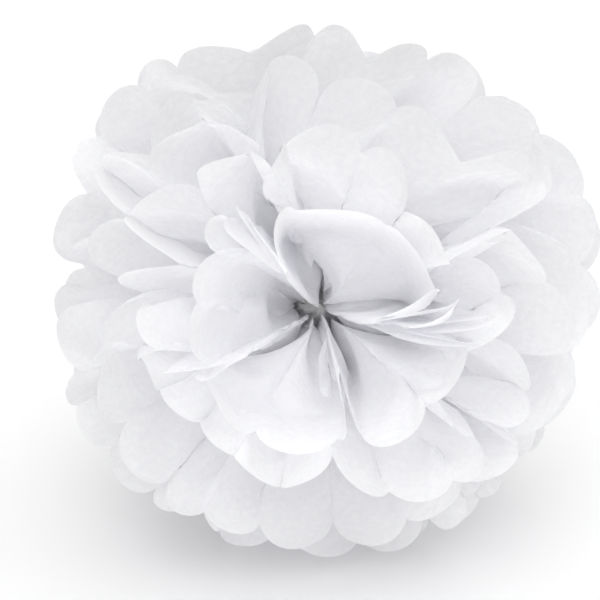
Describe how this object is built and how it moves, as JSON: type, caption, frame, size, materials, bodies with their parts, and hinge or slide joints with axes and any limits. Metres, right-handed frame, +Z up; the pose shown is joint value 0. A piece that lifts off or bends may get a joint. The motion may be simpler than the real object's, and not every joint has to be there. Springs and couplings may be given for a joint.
{
  "type": "tissue paper pom pom",
  "caption": "Round white tissue paper pom pom, pleated sheets gathered by a wire tie and fluffed into a ball of scalloped petals.",
  "frame": {"origin": "on the table under the middle of the ball's bounding box", "axes": "+Z up from the table, -Y towards the side that the front pole of the ball faces, X along the seam between the upper and lower fans"},
  "size_m": [0.3132, 0.2992, 0.293],
  "materials": {
    "tissue": "matte",
    "tie_wire": "satin"
  },
  "bodies": {
    "root": {"tissue_sheet_01": "tissue", "tissue_sheet_02": "tissue", "tissue_sheet_03": "tissue", "tissue_sheet_04": "tissue", "tissue_sheet_05": "tissue", "tissue_sheet_06": "tissue", "tissue_sheet_07": "tissue", "tissue_sheet_08": "tissue", "tissue_sheet_09": "tissue", "tissue_sheet_10": "tissue", "tissue_sheet_11": "tissue", "tissue_sheet_12": "tissue", "wire_tie": "tie_wire"}
  },
  "joints": []
}
